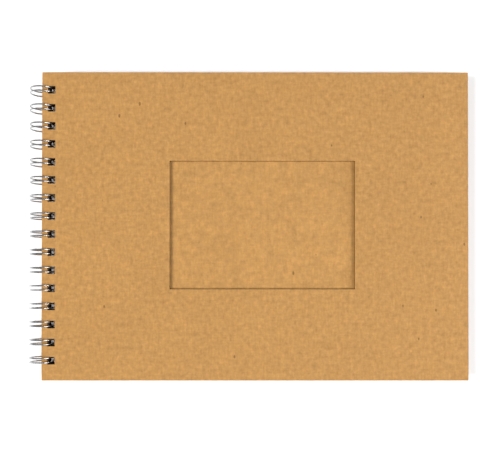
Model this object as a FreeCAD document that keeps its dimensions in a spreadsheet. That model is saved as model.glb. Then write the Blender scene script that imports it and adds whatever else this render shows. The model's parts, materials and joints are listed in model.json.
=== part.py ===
import FreeCAD, Part
import math
import os

import Sketcher
from FreeCAD import Rotation, Vector

# Scrapbook album: two kraft boards and a stack of kraft leaves on a twin-loop wire comb.
# It lies on its back: +Z is up, +X runs from the spine to the fore edge, +Y to the head.

SIZES = {
    "cover_length": 300.0,    # along X, spine edge to fore edge
    "cover_height": 217.0,    # along Y
    "cover_thick": 1.8,
    "strip_width": 10.0,      # binding strip along the spine
    "fore_overhang": 3.0,     # cover beyond the leaves at the fore edge
    "end_overhang": 3.5,      # cover beyond the leaves at the head and the tail
    "leaf_thick": 0.25,
    "leaf_count": 20,
    "layer_gap": 0.03,        # air between one layer and the next
    "window_length": 130.0,
    "window_height": 90.0,
    "window_rise": 0.8,       # window centre above the cover's centre line
    "hole_margin": 4.2,       # spine edge to the near side of a hole
    "hole_pitch": 12.7,
    "binding_rise": 0.75,     # hole row and comb above the cover's centre line
    "hole_end_margin": 9.0,   # least from a leaf's end to the middle of a hole
    "wire_thick": 1.0,
    "wire_play": 0.5,         # between a wire and the side of its hole
    "loop_spacing": 3.0,      # between the two wires of a double loop
    "loop_setback": 1.3,      # loop centre outside the spine edge
    "loop_clearance": 0.32,   # inside of a loop to the corners of the bound strip
    "bend_radius": 1.5,       # from a loop into the straight runs
    "tip_clearance": 0.22,    # between a loop's tip and the bends it closes onto
    "seam_start": 280.0,      # degrees from +X, where a loop leaves its run
    "end_stub": 1.6,          # cut wire beyond the first and last loop
}

doc = FreeCAD.newDocument("scrapbook_album")
sheet = doc.addObject("Spreadsheet::Sheet", "Sizes")
for row, (alias, value) in enumerate(SIZES.items(), start=1):
    sheet.set(f"A{row}", alias)
    sheet.set(f"B{row}", str(value))
    sheet.setAlias(f"B{row}", alias)
doc.recompute()

LEAF_LENGTH = "(Sizes.cover_length - Sizes.fore_overhang)"
LEAF_HEIGHT = "(Sizes.cover_height - 2 * Sizes.end_overhang)"
LEAF_STEP = "(Sizes.leaf_thick + Sizes.layer_gap)"
STACK = f"(2 * Sizes.cover_thick + Sizes.leaf_count * {LEAF_STEP} + Sizes.layer_gap)"
STRIP_REACH = "(Sizes.hole_margin + Sizes.loop_setback)"
LOOP_OUTSIDE = (f"(sqrt({STRIP_REACH} ^ 2 + ({STACK} / 2) ^ 2)"
                " + Sizes.loop_clearance + Sizes.wire_thick)")
STACK_BOTTOM = f"({LOOP_OUTSIDE} - {STACK} / 2)"
SPINE_X = f"(({LOOP_OUTSIDE} + Sizes.loop_setback - Sizes.cover_length) / 2)"
LOOP_X = f"({SPINE_X} - Sizes.loop_setback)"
HOLE_SIDE = "(Sizes.loop_spacing + Sizes.wire_thick + 2 * Sizes.wire_play)"
HOLE_STEPS = f"floor(({LEAF_HEIGHT} - 2 * Sizes.hole_end_margin) / Sizes.hole_pitch)"
FIRST_HOLE_Y = f"(Sizes.binding_rise - {HOLE_STEPS} * Sizes.hole_pitch / 2)"


def on_plane(body, sketch, plane):
    """Attach a sketch to one of its body's own origin planes."""
    plane_feature = next(f for f in body.Origin.OriginFeatures if f.Role == plane)
    sketch.AttachmentSupport = [(plane_feature, "")]
    sketch.MapMode = "FlatFace"


def rectangle_sketch(body, name, left, right, low, high):
    """A rectangle sketch whose four sides are sheet expressions, from the sketch origin."""
    sketch = body.newObject("Sketcher::SketchObject", name)
    on_plane(body, sketch, "XY_Plane")
    corners = [Vector(10, 10, 0), Vector(20, 10, 0), Vector(20, 20, 0), Vector(10, 20, 0)]
    for index in range(4):
        sketch.addGeometry(Part.LineSegment(corners[index], corners[(index + 1) % 4]), False)
    for index in range(4):
        sketch.addConstraint(Sketcher.Constraint("Coincident", index, 2, (index + 1) % 4, 1))
    for edge, direction in enumerate(["Horizontal", "Vertical", "Horizontal", "Vertical"]):
        sketch.addConstraint(Sketcher.Constraint(direction, edge))
    sides = [("DistanceX", 0, 1, "left", left), ("DistanceX", 0, 2, "right", right),
             ("DistanceY", 0, 1, "low", low), ("DistanceY", 1, 2, "high", high)]
    for kind, edge, end, label, expression in sides:
        constraint = Sketcher.Constraint(kind, -1, 1, edge, end, 10.0 * end)
        index = sketch.addConstraint(constraint)
        sketch.renameConstraint(index, label)
        sketch.setExpression(f"Constraints.{label}", expression)
    return sketch


def pad(body, name, sketch, depth):
    feature = body.newObject("PartDesign::Pad", name)
    feature.Profile = sketch
    feature.setExpression("Length", depth)
    feature.Refine = False
    return feature


def pocket_through(body, name, sketch):
    feature = body.newObject("PartDesign::Pocket", name)
    feature.Profile = sketch
    feature.Type = "ThroughAll"
    feature.Midplane = True
    feature.Refine = False
    return feature


def binding_holes(body):
    """One square hole near the spine, repeated along the edge."""
    outline = rectangle_sketch(body, "HoleOutline", "Sizes.hole_margin",
                               f"Sizes.hole_margin + {HOLE_SIDE}",
                               f"{FIRST_HOLE_Y} - {HOLE_SIDE} / 2",
                               f"{FIRST_HOLE_Y} + {HOLE_SIDE} / 2")
    hole = pocket_through(body, "Hole", outline)
    row = body.newObject("PartDesign::LinearPattern", "HoleRow")
    row.Originals = [hole]
    row.Direction = (outline, ["V_Axis"])
    row.setExpression("Length", f"{HOLE_STEPS} * Sizes.hole_pitch")
    row.setExpression("Occurrences", f"{HOLE_STEPS} + 1")
    row.Refine = False
    body.Tip = row


def sheet_body(label, length, height, thick, base_z):
    """A flat board or leaf, punched along its spine edge and placed at its own height."""
    body = doc.addObject("PartDesign::Body", label)
    body.Label = label
    half = f"{height} / 2"
    strip = rectangle_sketch(body, "StripOutline", "0 * Sizes.strip_width",
                             "Sizes.strip_width", f"-{half}", half)
    pad(body, "Strip", strip, thick)
    panel = rectangle_sketch(body, "PanelOutline", "Sizes.strip_width", length,
                             f"-{half}", half)
    pad(body, "Panel", panel, thick)
    binding_holes(body)
    body.setExpression("Placement.Base.x", SPINE_X)
    body.setExpression("Placement.Base.z", base_z)
    return body


def photo_window(body):
    """The die-cut opening, centred on the panel to the right of the binding strip."""
    middle = "(Sizes.strip_width + Sizes.cover_length) / 2"
    outline = rectangle_sketch(
        body, "WindowOutline",
        f"{middle} - Sizes.window_length / 2", f"{middle} + Sizes.window_length / 2",
        "Sizes.window_rise - Sizes.window_height / 2",
        "Sizes.window_rise + Sizes.window_height / 2")
    body.Tip = pocket_through(body, "Window", outline)


class WirePen:
    """Bends one round wire: it keeps the end point and heading and stores each piece."""

    def __init__(self, point, heading, radius):
        self.point, self.heading, self.radius = point, heading, radius
        self.pieces = []

    def section(self):
        circle = Part.Circle(self.point, self.heading, self.radius)
        return Part.Face(Part.Wire(circle.toShape()))

    def straight(self, length):
        step = self.heading * length
        self.pieces.append(self.section().extrude(step))
        self.point = self.point + step

    def bend(self, centre, axis, angle):
        self.pieces.append(self.section().revolve(centre, axis, angle))
        turn = Rotation(axis, angle)
        self.point = centre + turn.multVec(self.point - centre)
        self.heading = turn.multVec(self.heading)


def wire_comb():
    """Twin-loop comb about the Y axis, bent from one wire with its tips closed on the seam."""
    spacing, bend = sheet.loop_spacing, sheet.bend_radius
    count, pitch = int(sheet.evalExpression(HOLE_STEPS)) + 1, sheet.hole_pitch
    wire_radius = sheet.wire_thick / 2
    loop_radius = float(sheet.evalExpression(LOOP_OUTSIDE)) - wire_radius
    finger_half = spacing / 2 + bend
    tip_apart = finger_half + sheet.wire_thick + sheet.tip_clearance
    seam_gap = math.sqrt(tip_apart ** 2 - finger_half ** 2)
    loop_angle = 360.0 - math.degrees(seam_gap / loop_radius)
    start = math.radians(sheet.seam_start)
    along = Vector(0, 1, 0)
    outward = Vector(math.cos(start), 0, math.sin(start))
    around = along.cross(outward)
    seam = outward * loop_radius
    first_y = (1 - count) * pitch / 2

    run_start = seam - around * bend + along * (first_y - finger_half - sheet.end_stub)
    pen = WirePen(run_start, along, wire_radius)
    pen.straight(sheet.end_stub)
    for index in range(count):
        finger_y = first_y + index * pitch
        pen.bend(seam + along * (finger_y - finger_half), along.cross(around), 90.0)
        pen.bend(along * (finger_y - spacing / 2), along, loop_angle)
        tip = Vector(pen.point.x, finger_y, pen.point.z)
        pen.bend(tip, pen.heading.cross(along), 180.0)
        pen.bend(along * (finger_y + spacing / 2), along * -1, loop_angle)
        pen.bend(seam + along * (finger_y + finger_half), along.cross(around), 90.0)
        last = index == count - 1
        pen.straight(sheet.end_stub if last else pitch - 2 * finger_half)
    return pen.pieces[0].multiFuse(pen.pieces[1:])


leaf_total = int(sheet.leaf_count)
outputs = [sheet_body("back_cover", "Sizes.cover_length", "Sizes.cover_height",
                      "Sizes.cover_thick", STACK_BOTTOM)]
for number in range(leaf_total, 0, -1):
    below = f"{leaf_total - number} * {LEAF_STEP} + Sizes.layer_gap"
    outputs.append(sheet_body(f"leaf_{number:02d}", LEAF_LENGTH, LEAF_HEIGHT,
                              "Sizes.leaf_thick",
                              f"{STACK_BOTTOM} + Sizes.cover_thick + {below}"))
front = sheet_body("front_cover", "Sizes.cover_length", "Sizes.cover_height",
                   "Sizes.cover_thick", f"{STACK_BOTTOM} + {STACK} - Sizes.cover_thick")
photo_window(front)
outputs.append(front)

comb = doc.addObject("Part::Feature", "wire_binding")
comb.Label = "wire_binding"
comb.Shape = wire_comb()
comb.setExpression("Placement.Base.x", LOOP_X)
comb.setExpression("Placement.Base.y", "Sizes.binding_rise")
comb.setExpression("Placement.Base.z", LOOP_OUTSIDE)
outputs.append(comb)

doc.recompute()
for item in doc.Objects:
    if "Invalid" in item.State or "Error" in item.State:
        raise RuntimeError(f"{item.Name} did not recompute: {item.State}")
os.makedirs("parts", exist_ok=True)
for item in outputs:
    if item.Shape.isNull() or not item.Shape.isValid() or len(item.Shape.Solids) != 1:
        raise RuntimeError(f"{item.Label} is not one valid solid")
    item.Shape.exportStep(f"parts/{item.Label}.step")
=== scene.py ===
import json
import math
import random

import bmesh
import bpy
from mathutils import Euler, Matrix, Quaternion, Vector
from mathutils.bvhtree import BVHTree


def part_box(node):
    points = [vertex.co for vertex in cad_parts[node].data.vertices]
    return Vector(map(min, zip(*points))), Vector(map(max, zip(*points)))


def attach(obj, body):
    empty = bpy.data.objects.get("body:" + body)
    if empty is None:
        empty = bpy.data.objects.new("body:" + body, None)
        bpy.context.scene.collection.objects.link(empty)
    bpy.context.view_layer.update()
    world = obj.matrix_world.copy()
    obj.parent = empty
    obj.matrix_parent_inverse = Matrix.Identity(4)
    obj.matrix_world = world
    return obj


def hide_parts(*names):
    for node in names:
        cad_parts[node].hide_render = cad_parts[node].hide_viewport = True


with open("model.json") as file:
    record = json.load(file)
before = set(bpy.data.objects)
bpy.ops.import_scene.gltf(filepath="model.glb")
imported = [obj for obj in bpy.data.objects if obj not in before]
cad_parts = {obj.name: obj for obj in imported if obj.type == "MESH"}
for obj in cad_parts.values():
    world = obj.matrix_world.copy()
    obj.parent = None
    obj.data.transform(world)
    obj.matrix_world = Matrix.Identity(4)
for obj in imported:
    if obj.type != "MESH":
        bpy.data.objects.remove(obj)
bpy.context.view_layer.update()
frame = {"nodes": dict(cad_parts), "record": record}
chance = random.Random(16)

MM = 0.001

# Boards and leaves
BOARD_ROUND = 0.28 * MM      # worn edges of the greyboard
BOARD_ROUND_STEPS = 3
BOARD_CELL = 14 * MM         # largest cell of a board's mesh
LEAF_ROUND = 0.05 * MM
LEAF_ROUND_STEPS = 1
LEAF_CELL = 3 * BOARD_CELL
ROUND_PROFILE = 0.6
PUNCHED_STRIP = 10 * MM      # the binding holes lie this close to the spine edge
TRIM_ERROR = 0.16 * MM       # how far a leaf's cut edge strays from true
TRIM_BAND = 1 * MM           # points this close to a cut edge stray with it
RAY_HEIGHT = 0.01            # above a sheet, where rays that look for its holes start
SHEET_CREASE = 0.7           # radians; sharper edges than this are not smoothed
FACE, OUTER_SIDE, WINDOW_WALL, HOLE_WALL = range(4)

# The wire comb, as the punched holes and the CAD comb leave room for it
WIRE_RADIUS = 0.5 * MM
LOOP_SPACING = 3.0 * MM
BEND_RADIUS = 1.5 * MM
SEAM_START = math.radians(280)
SEAM_ARC = 2.97 * MM         # left open on each loop, where its tip closes on the seam
END_STUB = 1.6 * MM
LOOP_LEAN = 0.06             # sideways shift of a loop for each unit of height
WIRE_SIDES = 14
WIRE_CREASE = 1.0
RUN_STEPS = 4
CORNER_STEPS = 8
LOOP_STEPS = 72              # straight pieces in each loop of the mesh
TIP_STEPS = 14
SAME_PLACE = 1e-6            # corners of the CAD boards closer than this are level

# Kraft paper: scales are features to the metre
KRAFT_CLOUDS = 45            # lighter and darker areas of the pulp
KRAFT_CLOUD_DEPTH = 0.18
KRAFT_GRAIN = 310
KRAFT_WARM_PATCHES = 160
KRAFT_WARM_TINT = (1.03, 0.985, 0.93)
KRAFT_WARM_SHARE = 0.6
KRAFT_TOOTH = 1400           # fine tooth, in the bump only
KRAFT_FIBRE_DEPTH = 0.7
KRAFT_FIBRE_LAYS = (((720, 150, 300), 0.1), ((150, 720, 300), -0.15),
                    ((640, 170, 300), 0.9))    # scale along each axis, and turn in radians
FLECK_GRID = 190
FLECK_STRETCH = (1.0, 0.55, 1.0)
FLECK_TURN = 0.5
FLECK_SIZES = (0.05, 0.16)   # as a share of a cell of the grid
FLECK_DARKNESS = 0.36
FLECK_COVER = 0.75

# The studio
CAMERA_PLACE = Vector((0.46, -18.0, 476.9)) * MM
CAMERA_TURN = Euler((math.radians(0.50), math.radians(-0.10), math.radians(0.02)))
CAMERA_LENS = 47.5
CAMERA_RISE = 0.042          # the frame is moved up, as the album is seen a little from its tail side
CAMERA_NEAREST = 0.01
FLOOR_SIZE = 30.0
SKY_HORIZON = 0.42
SKY_HIGH = 0.85
SKY_OVERHEAD = 0.15
SKY_STRENGTH = 0.50


# ---------------------------------------------------------------- materials

class Shader:
    """A node tree being filled in, with short calls for the nodes used here."""

    def __init__(self, name):
        self.material = bpy.data.materials.new(name)
        self.material.use_nodes = True
        self.nodes = self.material.node_tree.nodes
        self.links = self.material.node_tree.links
        self.surface = self.nodes["Principled BSDF"]
        self.place = self.nodes.new("ShaderNodeTexCoord").outputs["Object"]

    def put(self, value, socket):
        if isinstance(value, bpy.types.NodeSocket):
            self.links.new(value, socket)
        else:
            socket.default_value = value

    def set(self, name, value):
        self.put(value, self.surface.inputs[name])

    def stretched(self, scale, turn=0.0):
        node = self.nodes.new("ShaderNodeMapping")
        node.inputs["Scale"].default_value = scale
        node.inputs["Rotation"].default_value = (0, 0, turn)
        self.links.new(self.place, node.inputs["Vector"])
        return node.outputs["Vector"]

    def noise(self, vector, scale, detail, roughness=0.55, distortion=0.0):
        node = self.nodes.new("ShaderNodeTexNoise")
        self.links.new(vector, node.inputs["Vector"])
        node.inputs["Scale"].default_value = scale
        node.inputs["Detail"].default_value = detail
        node.inputs["Roughness"].default_value = roughness
        node.inputs["Distortion"].default_value = distortion
        return node.outputs["Fac"]

    def spots(self, vector, scale):
        node = self.nodes.new("ShaderNodeTexVoronoi")
        self.links.new(vector, node.inputs["Vector"])
        node.inputs["Scale"].default_value = scale
        return node.outputs["Distance"], node.outputs["Color"]

    def span(self, value, low, high, to_low, to_high):
        node = self.nodes.new("ShaderNodeMapRange")
        self.put(value, node.inputs["Value"])
        for name, number in (("From Min", low), ("From Max", high),
                             ("To Min", to_low), ("To Max", to_high)):
            node.inputs[name].default_value = number
        return node.outputs["Result"]

    def spread(self, noise, to_low, to_high):
        """The usual range of a noise, brought to another one."""
        return self.span(noise, 0.3, 0.7, to_low, to_high)

    def math(self, kind, first, second):
        node = self.nodes.new("ShaderNodeMath")
        node.operation = kind
        self.put(first, node.inputs[0])
        self.put(second, node.inputs[1])
        return node.outputs["Value"]

    def mix(self, factor, first, second, kind="MIX"):
        node = self.nodes.new("ShaderNodeMix")
        node.data_type = "RGBA"
        node.blend_type = kind
        self.put(factor, node.inputs["Factor"])
        self.put(first, node.inputs["A"])
        self.put(second, node.inputs["B"])
        return node.outputs["Result"]

    def toned(self, colour, tone):
        return self.mix(1.0, colour, tone, "MULTIPLY")

    def bump(self, height, distance, strength):
        node = self.nodes.new("ShaderNodeBump")
        node.inputs["Strength"].default_value = strength
        node.inputs["Distance"].default_value = distance
        self.links.new(height, node.inputs["Height"])
        self.links.new(node.outputs["Normal"], self.surface.inputs["Normal"])


def tinted(colour, factors):
    """A colour with each of its parts scaled, and full alpha."""
    return tuple(part * factor for part, factor in zip(colour, factors)) + (1.0,)


def kraft(name, colour, fleck_share, mottle):
    """Unbleached kraft: pulp clouds, fine fibres in three lays and sparse dark flecks."""
    shader = Shader(name)
    place = shader.place
    cloud_depth = KRAFT_CLOUD_DEPTH * mottle
    clouds = shader.spread(shader.noise(place, KRAFT_CLOUDS, 2.0), 1 - cloud_depth, 1 + cloud_depth)
    grain = shader.spread(shader.noise(place, KRAFT_GRAIN, 4.0, 0.6), 1 - mottle, 1 + mottle)
    tone = shader.math("MULTIPLY", clouds, grain)

    fibres = None
    for scale, turn in KRAFT_FIBRE_LAYS:
        strands = shader.noise(shader.stretched(scale, turn), 1.0, 3.0, 0.65, 0.4)
        fibres = strands if fibres is None else shader.math("ADD", fibres, strands)
    fibres = shader.span(fibres, 1.1, 1.9, 0.0, 1.0)
    fibre_depth = KRAFT_FIBRE_DEPTH * mottle
    fibre_tone = shader.span(fibres, 0, 1, 1 - fibre_depth, 1 + fibre_depth)
    tone = shader.math("MULTIPLY", tone, fibre_tone)

    base = shader.toned(colour, tone)
    warm = shader.toned(tinted(colour, KRAFT_WARM_TINT), tone)
    patches = shader.span(shader.noise(place, KRAFT_WARM_PATCHES, 2.0), 0.35, 0.65, 0, 1)
    base = shader.mix(shader.math("MULTIPLY", patches, KRAFT_WARM_SHARE), base, warm)

    distance, pick = shader.spots(shader.stretched(FLECK_STRETCH, FLECK_TURN), FLECK_GRID)
    split = shader.nodes.new("ShaderNodeSeparateColor")
    shader.links.new(pick, split.inputs["Color"])
    chosen = shader.span(split.outputs["Red"], 1 - fleck_share, 1 - fleck_share + 0.002, 0, 1)
    size = shader.span(split.outputs["Green"], 0, 1, *FLECK_SIZES)
    fleck = shader.math("MULTIPLY", chosen, shader.math("LESS_THAN", distance, size))
    dark = tinted(colour, (FLECK_DARKNESS,) * 3)
    base = shader.mix(shader.math("MULTIPLY", fleck, FLECK_COVER), base, dark)

    shader.set("Base Color", base)
    shader.set("Roughness", shader.span(fibres, 0, 1, 0.92, 0.78))
    shader.set("Specular IOR Level", 0.3)
    shader.set("Sheen Weight", 0.05)
    shader.set("Sheen Roughness", 0.6)
    shader.bump(shader.math("ADD", fibres, shader.noise(place, KRAFT_TOOTH, 2.0)), 0.02 * MM, 0.6)
    return shader.material


def cut_board(name, colour):
    """The sawn side of a board: pressed pulp layers, lighter and darker, with torn fibres."""
    shader = Shader(name)
    layers = shader.noise(shader.stretched((60, 60, 5200)), 1.0, 3.0, 0.7, 0.3)
    torn = shader.noise(shader.place, 1300, 4.0, 0.65)
    tone = shader.math("MULTIPLY", shader.spread(layers, 0.80, 1.08), shader.spread(torn, 0.90, 1.08))
    shader.set("Base Color", shader.toned(colour, tone))
    shader.set("Roughness", 0.95)
    shader.set("Specular IOR Level", 0.15)
    shader.bump(shader.math("ADD", layers, torn), 0.06 * MM, 0.8)
    return shader.material


def cut_leaf(name, colour):
    """The trimmed side of a leaf, each leaf a little lighter or darker than its neighbour."""
    shader = Shader(name)
    own = shader.nodes.new("ShaderNodeObjectInfo").outputs["Random"]
    streaks = shader.noise(shader.stretched((500, 500, 3000)), 1.0, 3.0, 0.6)
    tone = shader.math("MULTIPLY", shader.span(own, 0, 1, 0.82, 1.06), shader.spread(streaks, 0.92, 1.06))
    shader.set("Base Color", shader.toned(colour, tone))
    shader.set("Roughness", 0.92)
    shader.set("Specular IOR Level", 0.2)
    shader.bump(streaks, 0.03 * MM, 0.6)
    return shader.material


def silver_wire(name, clean, scuffed):
    """Bright coated steel wire with faint drawing lines and small scuffs."""
    shader = Shader(name)
    lines = shader.noise(shader.stretched((400, 2600, 400)), 1.0, 3.0, 0.6)
    scuffs = shader.noise(shader.place, 380, 5.0, 0.7)
    shader.set("Base Color", shader.mix(shader.span(scuffs, 0.35, 0.7, 0, 1), clean, scuffed))
    shader.set("Metallic", 1.0)
    shader.set("Roughness", shader.span(scuffs, 0.35, 0.7, 0.20, 0.32))
    shader.bump(lines, 0.01 * MM, 0.35)
    return shader.material


board_face = kraft("kraft_board_face", (0.338, 0.180, 0.057, 1.0), 0.06, 0.16)
board_side = cut_board("kraft_board_side", (0.305, 0.163, 0.059, 1.0))
# The window's cut wall is coloured far darker than the board's own cut side: painted shade for the shadow
# line along the window's rim.
board_window_painted_shade = cut_board("kraft_board_window_wall_painted_shade", (0.115, 0.052, 0.011, 1.0))
# The punched holes' walls are coloured near-black, far darker than the board's cut side: painted shade
# for the dark inside of the holes.
board_hole_painted_shade = cut_board("kraft_board_hole_wall_painted_shade", (0.055, 0.030, 0.014, 1.0))
leaf_face = kraft("kraft_leaf_face", (0.348, 0.186, 0.059, 1.0), 0.05, 0.15)
leaf_side = cut_leaf("kraft_leaf_side", (0.345, 0.187, 0.070, 1.0))
# The leaves' hole walls are coloured far darker than a leaf's cut side: painted shade for the dark inside
# of the holes.
leaf_hole_painted_shade = cut_leaf("kraft_leaf_hole_wall_painted_shade", (0.09, 0.05, 0.022, 1.0))
wire = silver_wire("silver_wire_coat", (0.48, 0.485, 0.495, 1), (0.39, 0.395, 0.405, 1))


# ---------------------------------------------------------------- boards and leaves

def mesh_object(name, shape, materials):
    mesh = bpy.data.meshes.new(name)
    shape.to_mesh(mesh)
    shape.free()
    piece = bpy.data.objects.new(name, mesh)
    bpy.context.scene.collection.objects.link(piece)
    for material in materials:
        mesh.materials.append(material)
    return piece


def cut_lines(node, axis):
    """Where the CAD node has corners along one axis, lowest first."""
    return sorted({round(v.co[axis], 6) for v in frame["nodes"][node].data.vertices})


def refined(lines, cell):
    """The same lines with more between them, so that no gap is wider than a cell."""
    result = [lines[0]]
    for low, high in zip(lines, lines[1:]):
        steps = max(1, math.ceil((high - low) / cell))
        result += [low + (high - low) * step / steps for step in range(1, steps + 1)]
    return result


def sheet_mesh(node, cell, edge_round, steps):
    """The node's own outline and holes as a mesh of rectangles with softened edges."""
    low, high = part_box(node)
    xs, ys = (refined(cut_lines(node, axis), cell) for axis in (0, 1))
    cad = frame["nodes"][node].data
    tree = BVHTree.FromPolygons([v.co for v in cad.vertices], [p.vertices for p in cad.polygons])
    shape = bmesh.new()
    corners = {}

    def corner(i, j, z):
        key = (i, j, z)
        if key not in corners:
            corners[key] = shape.verts.new((xs[i], ys[j], z))
        return corners[key]

    filled = set()
    for i in range(len(xs) - 1):
        for j in range(len(ys) - 1):
            above = Vector(((xs[i] + xs[i + 1]) / 2, (ys[j] + ys[j + 1]) / 2, high.z + RAY_HEIGHT))
            if tree.ray_cast(above, Vector((0, 0, -1)))[0] is not None:
                filled.add((i, j))
    sides = {(-1, 0): ((0, 1), (0, 0)), (1, 0): ((1, 0), (1, 1)),
             (0, -1): ((0, 0), (1, 0)), (0, 1): ((1, 1), (0, 1))}
    for i, j in sorted(filled):
        around = [(i, j), (i + 1, j), (i + 1, j + 1), (i, j + 1)]
        shape.faces.new([corner(a, b, high.z) for a, b in around])
        shape.faces.new([corner(a, b, low.z) for a, b in reversed(around)])
        for (di, dj), ((ai, aj), (bi, bj)) in sides.items():
            if (i + di, j + dj) in filled:
                continue
            wall = shape.faces.new([corner(i + ai, j + aj, high.z),
                                    corner(i + ai, j + aj, low.z),
                                    corner(i + bi, j + bj, low.z),
                                    corner(i + bi, j + bj, high.z)])
            if not (0 <= i + di < len(xs) - 1 and 0 <= j + dj < len(ys) - 1):
                wall.material_index = OUTER_SIDE
            elif xs[i] < low.x + PUNCHED_STRIP:
                wall.material_index = HOLE_WALL
            else:
                wall.material_index = WINDOW_WALL
    shape.normal_update()
    rims = []
    for edge in shape.edges:
        kinds = [face.material_index for face in edge.link_faces]
        if len(kinds) == 2 and FACE in kinds and kinds[0] != kinds[1]:
            rims.append(edge)
    bmesh.ops.bevel(shape, geom=rims, offset=edge_round, segments=steps, profile=ROUND_PROFILE,
                    affect="EDGES", clamp_overlap=True, material=-1)
    bmesh.ops.recalc_face_normals(shape, faces=shape.faces)
    return shape


def smooth(piece, crease):
    for polygon in piece.data.polygons:
        polygon.use_smooth = True
    piece.data.set_sharp_from_angle(angle=crease)


def stand_in(piece, node, crease):
    """Finish a piece that is shown in place of a CAD node and moves with its body."""
    smooth(piece, crease)
    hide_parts(node)
    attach(piece, body_of_node[node])


def board(name, node):
    shape = sheet_mesh(node, BOARD_CELL, BOARD_ROUND, BOARD_ROUND_STEPS)
    piece = mesh_object(name, shape, [board_face, board_side, board_window_painted_shade, board_hole_painted_shade])
    stand_in(piece, node, SHEET_CREASE)


def leaf(name, node):
    """A leaf whose fore, head and tail edges are trimmed a touch off true."""
    low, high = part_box(node)
    shape = sheet_mesh(node, LEAF_CELL, LEAF_ROUND, LEAF_ROUND_STEPS)
    fore, head, tail = (chance.uniform(-TRIM_ERROR, TRIM_ERROR) for _ in range(3))
    skew = chance.uniform(-TRIM_ERROR, TRIM_ERROR)
    for vertex in shape.verts:
        along = (vertex.co.y - low.y) / (high.y - low.y)
        if high.x - vertex.co.x < TRIM_BAND:
            vertex.co.x += fore + skew * (along - 0.5) - TRIM_ERROR
        if high.y - vertex.co.y < TRIM_BAND:
            vertex.co.y += head
        if vertex.co.y - low.y < TRIM_BAND:
            vertex.co.y += tail
    piece = mesh_object(name, shape, [leaf_face, leaf_side, leaf_side, leaf_hole_painted_shade])
    stand_in(piece, node, SHEET_CREASE)


body_of_node = {node: body for body, nodes in frame["record"]["behaviour"]["bodies"].items()
                for node in nodes}
board("back_board_kraft", "back_cover")
board("front_board_kraft", "front_cover")
for node in sorted(n for n in body_of_node if n.startswith("leaf_")):
    leaf(f"{node}_kraft", node)


# ---------------------------------------------------------------- the wire comb

class Pen:
    """Follows the centre line of one bent wire and keeps points along it."""

    def __init__(self, place, heading):
        self.place = place
        self.heading = heading
        self.points = [place.copy()]

    def straight(self, length, steps):
        start = self.place.copy()
        for step in range(1, steps + 1):
            self.points.append(start + self.heading * length * step / steps)
        self.place = self.points[-1].copy()

    def bend(self, centre, axis, angle, steps):
        arm = self.place - centre
        for step in range(1, steps + 1):
            turn = Quaternion(axis, angle * step / steps)
            self.points.append(centre + turn @ arm)
        self.place = self.points[-1].copy()
        self.heading = turn @ self.heading


def hole_middles():
    """The middle of each punched hole along the spine, from the tail to the head."""
    low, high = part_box("front_cover")
    first_hole_line = cut_lines("front_cover", 0)[1]
    ys = {round(v.co.y, 6) for v in frame["nodes"]["front_cover"].data.vertices
          if abs(v.co.x - first_hole_line) < SAME_PLACE}
    sides = sorted(y for y in ys if low.y + SAME_PLACE < y < high.y - SAME_PLACE)
    return [(a + b) / 2 for a, b in zip(sides[0::2], sides[1::2])]


def comb_points(centre, loop_radius, places):
    """The comb as one wire: along the seam, round a loop to its tip, and back beside itself."""
    along = Vector((0, 1, 0))
    outward = Vector((math.cos(SEAM_START), 0, math.sin(SEAM_START)))
    around = along.cross(outward)
    seam = centre + outward * loop_radius
    half = LOOP_SPACING / 2 + BEND_RADIUS
    loop_angle = math.tau - SEAM_ARC / loop_radius
    quarter = math.pi / 2
    pen = Pen(seam - around * BEND_RADIUS + along * (places[0] - half - END_STUB), along)
    pen.straight(END_STUB, 2)
    for index, y in enumerate(places):
        pen.bend(seam + along * (y - half), along.cross(around), quarter, CORNER_STEPS)
        pen.bend(centre + along * (y - LOOP_SPACING / 2), along, loop_angle, LOOP_STEPS)
        tip = Vector((pen.place.x, y, pen.place.z))
        pen.bend(tip, pen.heading.cross(along), math.pi, TIP_STEPS)
        pen.bend(centre + along * (y + LOOP_SPACING / 2), -along, loop_angle, LOOP_STEPS)
        pen.bend(seam + along * (y + half), along.cross(around), quarter, CORNER_STEPS)
        if index == len(places) - 1:
            pen.straight(END_STUB, RUN_STEPS)
        else:
            pen.straight(places[index + 1] - y - 2 * half, RUN_STEPS)
    return pen.points


def leaned(point, centre):
    """Each loop leans to the tail at its foot, as far as the holes allow."""
    return Vector((point.x, point.y + LOOP_LEAN * (point.z - centre.z), point.z))


def tube(points, radius, sides):
    """A round wire along a line of points, with flat cut ends."""
    shape = bmesh.new()
    tangents = []
    for index in range(len(points)):
        before = points[max(index - 1, 0)]
        after = points[min(index + 1, len(points) - 1)]
        tangents.append((after - before).normalized())
    normal = tangents[0].orthogonal().normalized()
    rings = []
    for point, tangent in zip(points, tangents):
        normal = (normal - tangent * normal.dot(tangent)).normalized()
        across = tangent.cross(normal)
        ring = []
        for side in range(sides):
            angle = math.tau * side / sides
            spoke = normal * math.cos(angle) + across * math.sin(angle)
            ring.append(shape.verts.new(point + spoke * radius))
        rings.append(ring)
    for first, second in zip(rings, rings[1:]):
        for side in range(sides):
            after = (side + 1) % sides
            shape.faces.new((first[side], first[after], second[after], second[side]))
    shape.faces.new(list(reversed(rings[0])))
    shape.faces.new(rings[-1])
    return shape


def comb():
    """The wire, centred on the axis that the comb's joint turns about."""
    body = body_of_node["wire_binding"]
    joint = next(j for j in frame["record"]["behaviour"]["joints"] if j["child"] == body)
    centre = Vector((joint["pos_m"][0], 0, joint["pos_m"][2]))
    loops_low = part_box("wire_binding")[0]
    loop_radius = centre.x - loops_low.x - WIRE_RADIUS
    points = comb_points(centre, loop_radius, hole_middles())
    shape = tube([leaned(p, centre) for p in points], WIRE_RADIUS, WIRE_SIDES)
    piece = mesh_object("silver_twin_loop_comb", shape, [wire])
    stand_in(piece, "wire_binding", WIRE_CREASE)


comb()


# ---------------------------------------------------------------- studio

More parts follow.
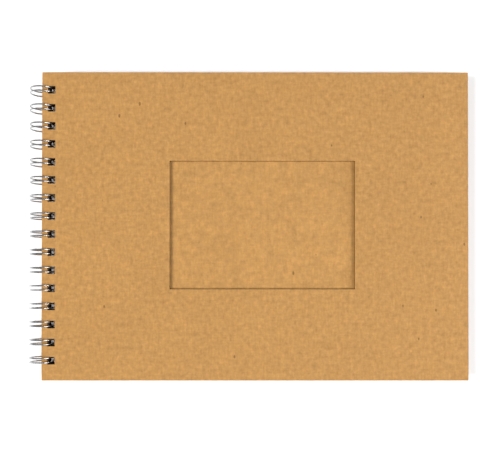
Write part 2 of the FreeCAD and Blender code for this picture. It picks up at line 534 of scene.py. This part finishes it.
def floor():
    """A pale sheet that the album lies on: the loops and the back board's fore edge touch it."""
    loops_low, loops_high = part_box("wire_binding")
    back_low, back_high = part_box("back_cover")
    touch = (loops_low.x + loops_high.x) / 2
    slope = (back_low.z - loops_low.z) / (back_high.x - touch)
    half = FLOOR_SIZE / 2
    corners = [(-half, -half), (half, -half), (half, half), (-half, half)]
    shape = bmesh.new()
    shape.faces.new([shape.verts.new((x, y, loops_low.z + (x - touch) * slope)) for x, y in corners])
    material = bpy.data.materials.new("pale_floor")
    material.use_nodes = True
    surface = material.node_tree.nodes["Principled BSDF"]
    surface.inputs["Base Color"].default_value = (0.88, 0.88, 0.885, 1)
    surface.inputs["Roughness"].default_value = 0.9
    surface.inputs["Specular IOR Level"].default_value = 0.1
    mesh_object("floor", shape, [material])


def softbox(name, place, size, power, mirrored=True):
    """A round studio light aimed at the album; one that is not mirrored leaves no glare on the wire."""
    light = bpy.data.lights.new(name, "AREA")
    light.shape = "DISK"
    light.size = size
    light.energy = power
    lamp = bpy.data.objects.new(name, light)
    lamp.location = place
    lamp.visible_glossy = mirrored
    lamp.rotation_euler = (-Vector(place)).to_track_quat("-Z", "Y").to_euler()
    bpy.context.scene.collection.objects.link(lamp)


def grey(level):
    return (level, level, level, 1.0)


def surroundings():
    """Grey at the horizon, bright higher up and dark straight overhead, for the wires to mirror."""
    world = bpy.data.worlds.new("studio")
    bpy.context.scene.world = world
    world.use_nodes = True
    nodes, links = world.node_tree.nodes, world.node_tree.links
    coordinates = nodes.new("ShaderNodeTexCoord")
    split = nodes.new("ShaderNodeSeparateXYZ")
    ramp = nodes.new("ShaderNodeValToRGB")
    links.new(coordinates.outputs["Generated"], split.inputs["Vector"])
    links.new(split.outputs["Z"], ramp.inputs["Fac"])
    stops = ramp.color_ramp.elements
    stops[0].position = 0.05
    stops[0].color = grey(SKY_HORIZON)
    stops[1].position = 0.99
    stops[1].color = grey(SKY_OVERHEAD)
    for position, level in ((0.45, SKY_HORIZON), (0.75, SKY_HIGH), (0.93, 0.80)):
        stops.new(position).color = grey(level)
    links.new(ramp.outputs["Color"], nodes["Background"].inputs["Color"])
    nodes["Background"].inputs["Strength"].default_value = SKY_STRENGTH


def camera():
    lens = bpy.data.cameras.new("photo_camera")
    lens.lens = CAMERA_LENS
    lens.shift_y = CAMERA_RISE
    lens.clip_start = CAMERA_NEAREST
    holder = bpy.data.objects.new("photo_camera", lens)
    holder.location = CAMERA_PLACE
    holder.rotation_euler = CAMERA_TURN
    bpy.context.scene.collection.objects.link(holder)
    bpy.context.scene.camera = holder


floor()
surroundings()
softbox("key", (-1.7, -0.2, 1.4), 1.2, 70, mirrored=False)
softbox("right", (1.4, -0.5, 1.12), 0.9, 27)
softbox("glint", (1.2, 0.0, 0.4), 0.4, 7)
camera()
bpy.context.scene.view_settings.view_transform = "Standard"
